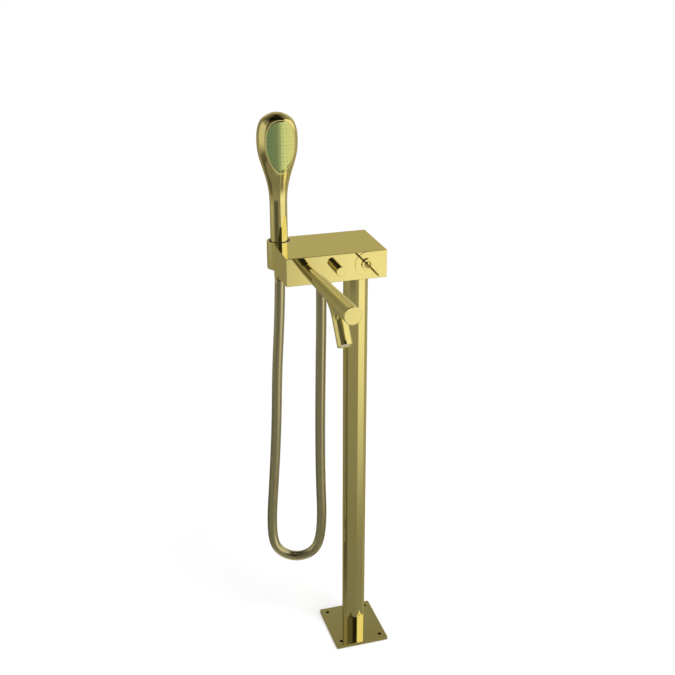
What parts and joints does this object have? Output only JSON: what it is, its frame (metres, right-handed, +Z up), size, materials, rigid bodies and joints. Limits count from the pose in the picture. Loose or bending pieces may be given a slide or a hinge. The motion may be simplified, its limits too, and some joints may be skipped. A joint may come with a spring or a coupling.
{
  "type": "floor standing bath filler",
  "caption": "Floor standing bath filler: rectangular foot, round column, box mixer with long spout, diverter and lever, and a pear-shaped handset upright in a corner holder on a hose loop",
  "frame": {"origin": "centre of the base plate's underside, on the column's axis", "axes": "+Z up along the column; X along the mixer body, from the handset's end (-X) to the lever's end (+X); -Y is the side the spout points to"},
  "size_m": [0.2038, 0.3721, 0.9937],
  "materials": {
    "polished_gold": "polished",
    "bare_brass": "machined",
    "screw_steel": "plain",
    "black_rubber": "matte",
    "valve_plastic": "moulded",
    "copper_pipe": "drawn",
    "bush_plastic": "moulded",
    "gold_hose": "metallised gloss",
    "spray_face": "tinted gloss",
    "jet_rubber": "soft matte"
  },
  "bodies": {
    "stand": {"base_plate": "polished_gold", "foot_socket": "bare_brass", "foot_screws": "screw_steel", "column_tube": "polished_gold", "top_socket": "bare_brass", "top_screws": "screw_steel", "body_shell": "polished_gold", "bottom_cover": "polished_gold", "cover_screws": "screw_steel", "holder_bush": "bush_plastic", "valve_casting": "bare_brass", "mixer_cartridge": "valve_plastic", "cartridge_nut": "bare_brass", "control_disc": "polished_gold", "lever_collar": "polished_gold", "diverter_sleeve": "bare_brass", "spout_nipple": "bare_brass", "spout_seals": "black_rubber", "spout_tube": "polished_gold", "nozzle_sleeve": "polished_gold", "aerator_body": "valve_plastic", "aerator_insert": "valve_plastic", "aerator_washer": "black_rubber", "hot_supply_pipe": "copper_pipe", "cold_supply_pipe": "copper_pipe", "shower_feed_pipe": "copper_pipe", "outlet_nipple": "bare_brass", "check_valve": "valve_plastic", "outlet_hose_nut": "polished_gold", "outlet_hose_tail": "bare_brass", "outlet_washer": "black_rubber", "shower_hose": "gold_hose"},
    "rotor": {"cartridge_rotor": "valve_plastic"},
    "lever": {"cartridge_stem": "bare_brass", "lever_ball": "polished_gold", "lever_pin": "polished_gold"},
    "diverter": {"diverter_rod": "bare_brass", "diverter_seal": "black_rubber", "diverter_knob": "polished_gold"},
    "hose_end": {"handset_hose_nut": "polished_gold", "handset_hose_tail": "bare_brass", "handset_washer": "black_rubber"},
    "handset": {"handset_connector": "bare_brass", "handset_shell": "polished_gold", "spray_face": "spray_face", "jet_mat": "jet_rubber"}
  },
  "joints": [
    {"name": "lever_turn", "type": "hinge", "parent": "stand", "child": "rotor", "pos_m": [0.0005, -0.0575, 0.76], "axis": [0, -1, 0], "range_deg": [-45, 45]},
    {"name": "lever_lift", "type": "hinge", "parent": "rotor", "child": "lever", "pos_m": [0.0005, -0.0575, 0.76], "axis": [-1, 0, 0], "range_deg": [0, 15]},
    {"name": "diverter_pull", "type": "slide", "parent": "stand", "child": "diverter", "axis": [0, -1, 0], "range_m": [0, 0.008]},
    {"name": "handset_lift", "type": "slide", "parent": "stand", "child": "hose_end", "axis": [0, 0, 1], "range_m": [0, 0.07], "deforming": ["shower_hose"]},
    {"name": "handset_turn", "type": "hinge", "parent": "hose_end", "child": "handset", "pos_m": [-0.1205, 0.042, 0.742], "axis": [0, 0, 1], "continuous": true}
  ]
}
